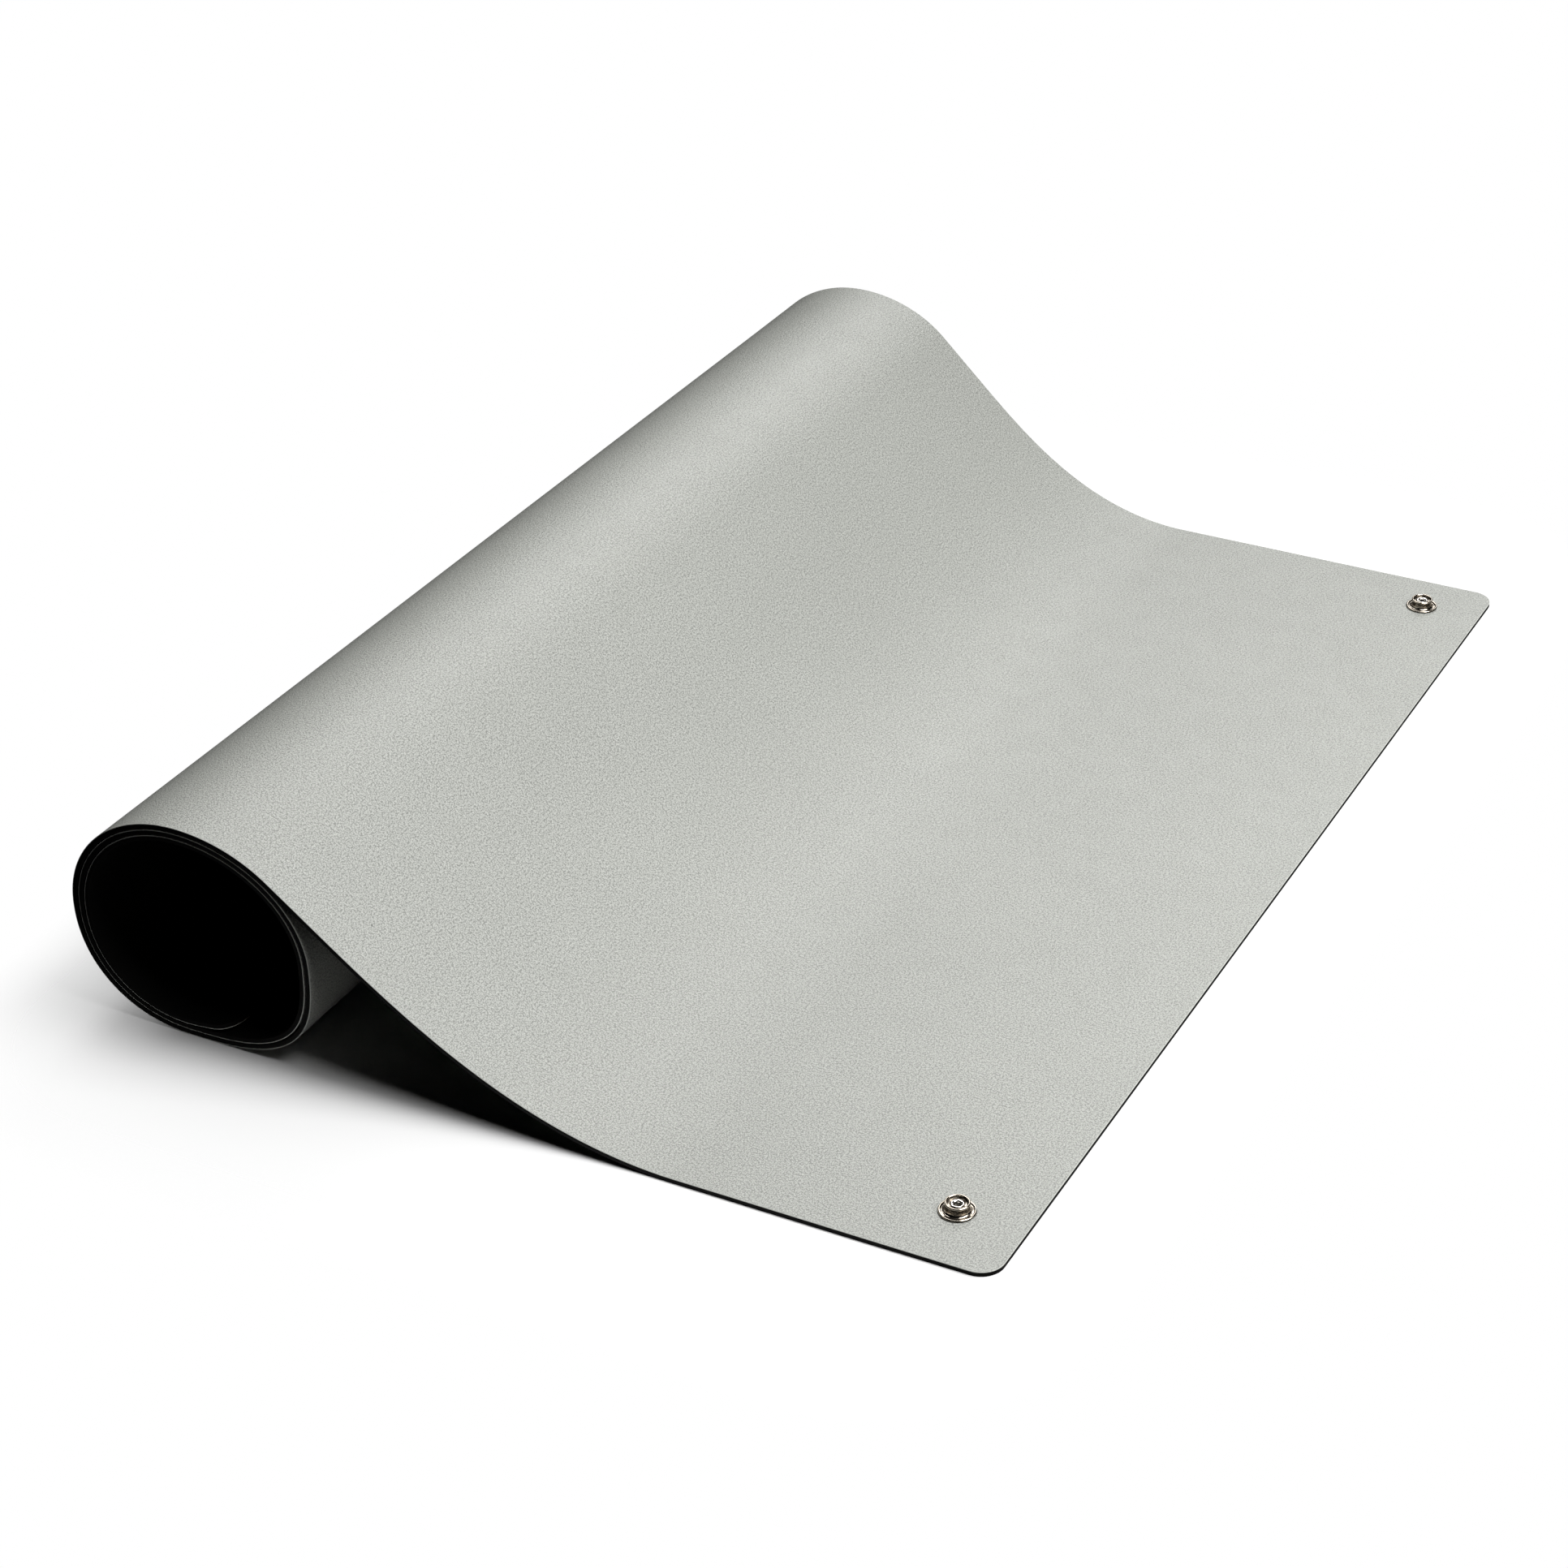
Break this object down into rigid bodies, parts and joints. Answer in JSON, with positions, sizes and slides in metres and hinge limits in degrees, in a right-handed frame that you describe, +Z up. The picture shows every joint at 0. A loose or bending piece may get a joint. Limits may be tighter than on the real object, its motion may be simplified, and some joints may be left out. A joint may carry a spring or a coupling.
{
  "type": "anti static bench mat",
  "caption": "Two-layer anti-static rubber bench mat, part unrolled: one end flat with a press stud at each corner, the other end over a loose oval roll.",
  "frame": {"origin": "centre of the overall box, on the surface that the mat lies on", "axes": "+Z up, +Y along the mat's 600 mm width, +X from the roll towards the flat free end"},
  "size_m": [0.4122, 0.6, 0.1012],
  "materials": {
    "grey_rubber": "light grey dissipative rubber with a fine leather grain and a low sheen",
    "black_rubber": "matt black conductive rubber",
    "nickel_plate": "bright nickel plate on pressed brass"
  },
  "bodies": {
    "root": {"dissipative_top_layer": "grey_rubber", "conductive_base_layer": "black_rubber", "stud_near": "nickel_plate", "rivet_near": "nickel_plate", "stud_far": "nickel_plate", "rivet_far": "nickel_plate"}
  },
  "joints": []
}
